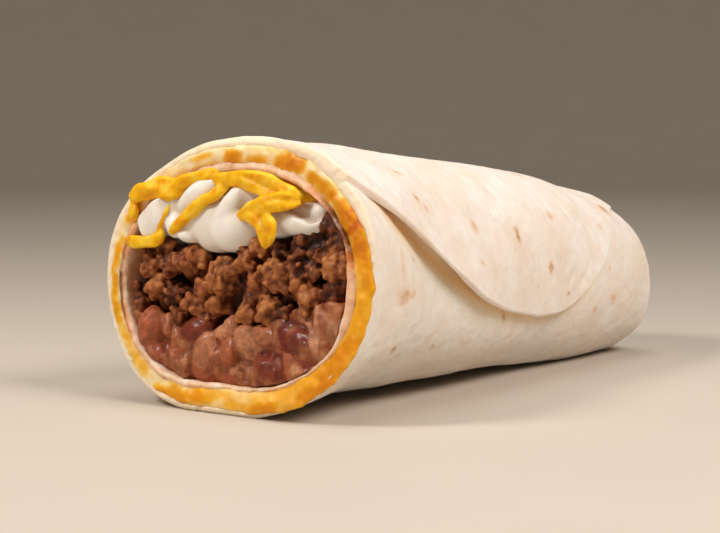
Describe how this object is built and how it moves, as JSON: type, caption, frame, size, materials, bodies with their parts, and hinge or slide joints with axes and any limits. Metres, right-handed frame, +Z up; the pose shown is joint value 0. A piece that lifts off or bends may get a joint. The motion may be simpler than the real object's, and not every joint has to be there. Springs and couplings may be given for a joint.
{
  "type": "burrito",
  "caption": "Rolled flour-tortilla burrito lying down, open at one end to show layered beans, ground beef, sour cream and shredded cheddar inside a ring of melted cheese sauce",
  "frame": {"origin": "under the middle of the burrito's box, on the surface that it lies on", "axes": "+X from the open end to the closed end, -Y the near side that the flap comes down, +Z up"},
  "size_m": [0.156, 0.0752, 0.059],
  "materials": {
    "tortilla": "soft matte flour tortilla with small toasted spots",
    "cheese_sauce": "glossy melted cheese sauce, mottled from pale yellow to orange",
    "tortilla_inner": "soft matte flour tortilla, cut edge",
    "beans": "moist mashed pinto beans with whole beans in them",
    "beef": "browned seasoned ground beef, moist crumbles",
    "sour_cream": "smooth wet white cream",
    "shredded_cheddar": "waxy yellow-orange shredded cheese"
  },
  "bodies": {
    "root": {"tortilla_outer": "tortilla", "cheese_sauce": "cheese_sauce", "tortilla_inner": "tortilla_inner", "beans": "beans", "beef": "beef", "sour_cream": "sour_cream", "shredded_cheddar": "shredded_cheddar"}
  },
  "joints": []
}
